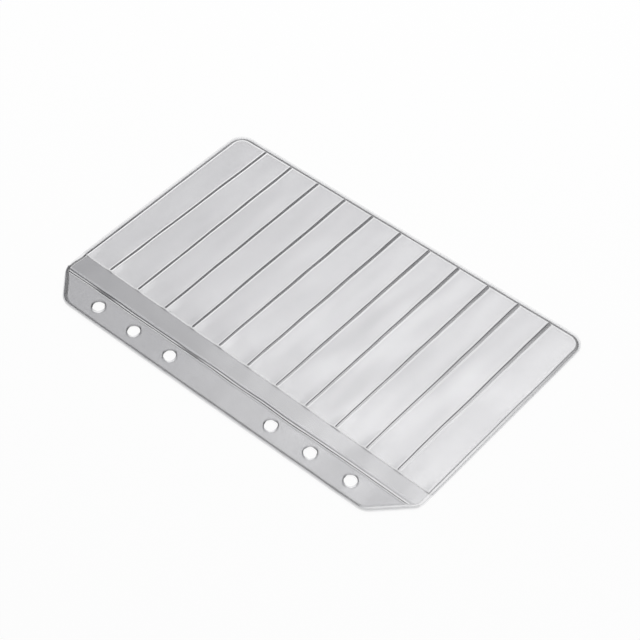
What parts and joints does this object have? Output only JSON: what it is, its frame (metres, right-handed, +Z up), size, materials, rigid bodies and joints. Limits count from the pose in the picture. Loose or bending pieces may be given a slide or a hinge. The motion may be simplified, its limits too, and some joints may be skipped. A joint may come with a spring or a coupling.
{
  "type": "binder pocket page",
  "caption": "Clear vinyl loose-leaf page with a punched, chamfered binding margin and a row of narrow welded pockets, open towards the binding edge, that hold strips of component tape.",
  "frame": {"origin": "under the middle of the page, on the face that it lies on", "axes": "+X from the binding edge to the outer edge, +Y along the binding edge, +Z up through the films to the pocket side"},
  "size_m": [0.116, 0.179, 0.001],
  "materials": {
    "back_film": "clear soft vinyl film, smooth and glossy",
    "pocket_film": "clear soft vinyl film, smooth and glossy",
    "strip_film": "clear soft vinyl film, smooth and glossy",
    "weld": "fused vinyl, pressed smooth by the welding tool"
  },
  "bodies": {
    "root": {"back_sheet": "back_film", "pocket_sheet": "pocket_film", "binding_strip": "strip_film", "rim_weld": "weld", "binding_weld": "weld", "divider_weld_01": "weld", "divider_weld_02": "weld", "divider_weld_03": "weld", "divider_weld_04": "weld", "divider_weld_05": "weld", "divider_weld_06": "weld", "divider_weld_07": "weld", "divider_weld_08": "weld", "divider_weld_09": "weld", "divider_weld_10": "weld", "divider_weld_11": "weld"}
  },
  "joints": []
}
